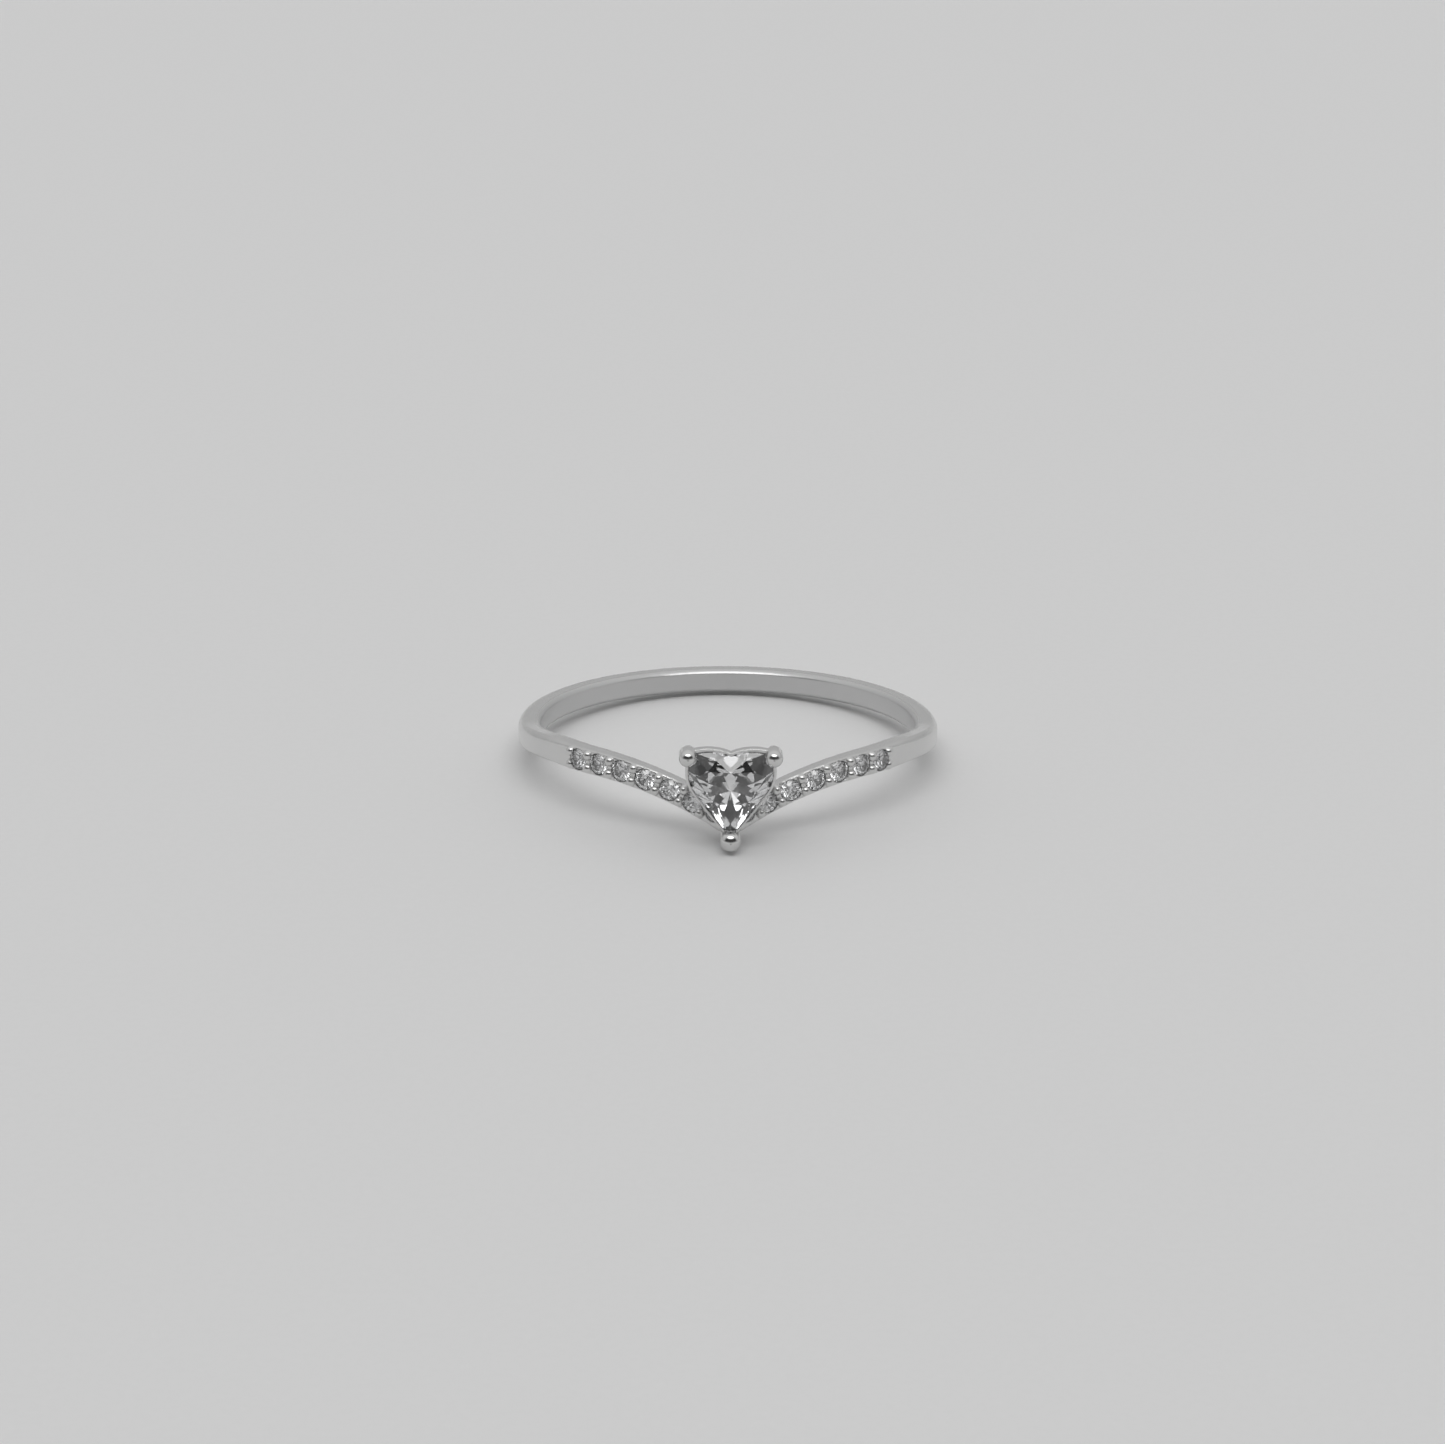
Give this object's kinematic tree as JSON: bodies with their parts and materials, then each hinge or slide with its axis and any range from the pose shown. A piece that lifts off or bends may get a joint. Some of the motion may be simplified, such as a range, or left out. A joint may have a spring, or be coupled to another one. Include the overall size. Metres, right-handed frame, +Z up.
{
  "type": "finger ring",
  "caption": "Slim chevron ring with a heart-cut stone in a prong-set collet and small round stones set along both arms.",
  "frame": {"origin": "on the surface that the ring lies on, under the middle of its box", "axes": "+Z up from that surface, -Y from the back of the band towards the heart, +X to the right seen from the heart"},
  "size_m": [0.0194, 0.0212, 0.0048],
  "materials": {
    "polished_silver": "polished, rhodium-bright silver",
    "clear_stone": "clear, faceted and polished"
  },
  "bodies": {
    "root": {"silver_ring": "polished_silver", "heart_stone": "clear_stone", "pave_stone_left_1": "clear_stone", "pave_stone_left_2": "clear_stone", "pave_stone_left_3": "clear_stone", "pave_stone_left_4": "clear_stone", "pave_stone_left_5": "clear_stone", "pave_stone_left_6": "clear_stone", "pave_stone_right_1": "clear_stone", "pave_stone_right_2": "clear_stone", "pave_stone_right_3": "clear_stone", "pave_stone_right_4": "clear_stone", "pave_stone_right_5": "clear_stone", "pave_stone_right_6": "clear_stone", "tip_stone_left": "clear_stone", "tip_stone_right": "clear_stone"}
  },
  "joints": []
}
